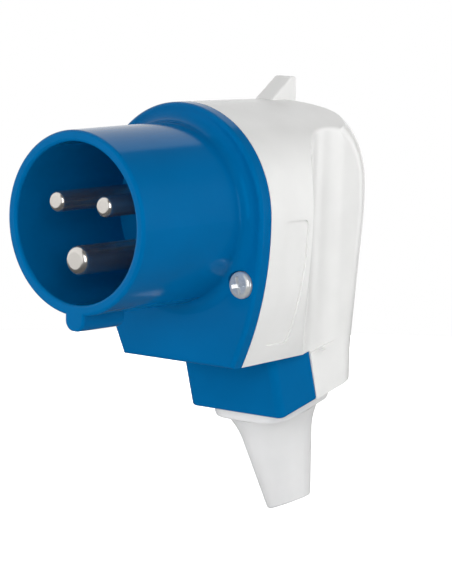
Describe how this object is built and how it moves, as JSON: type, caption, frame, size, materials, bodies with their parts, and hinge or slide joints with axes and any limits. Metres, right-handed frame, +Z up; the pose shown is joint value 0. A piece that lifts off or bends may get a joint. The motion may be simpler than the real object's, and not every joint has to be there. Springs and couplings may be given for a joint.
{
  "type": "industrial plug",
  "caption": "Right-angled industrial plug: round collar around the contact pins, blue and white housing with finger recesses, tilted cable outlet with a soft tapered sleeve.",
  "frame": {"origin": "centre of the collar's mouth", "axes": "-Y along the collar's axis out of its mouth, +Z up from the key towards the lug, +X to the right seen from behind the plug"},
  "size_m": [0.053, 0.0915, 0.1098],
  "materials": {
    "blue_plastic": "smooth moulded, slightly glossy",
    "white_plastic": "smooth moulded, satin",
    "soft_sleeve": "soft plastic, satin",
    "nickel": "nickel-plated brass",
    "zinc_steel": "zinc-plated",
    "inner_plastic": "moulded, dull",
    "seal_rubber": "dull"
  },
  "bodies": {
    "root": {"front_body": "blue_plastic", "rear_cover": "white_plastic", "cable_sleeve": "soft_sleeve", "line_pin": "nickel", "neutral_pin": "nickel", "earth_pin": "nickel", "cover_screws": "zinc_steel", "terminal_screws": "zinc_steel", "retainer_screw": "zinc_steel", "clamp_screws": "zinc_steel", "pin_retainer": "inner_plastic", "cable_clamp": "inner_plastic", "housing_seal": "seal_rubber"}
  },
  "joints": []
}
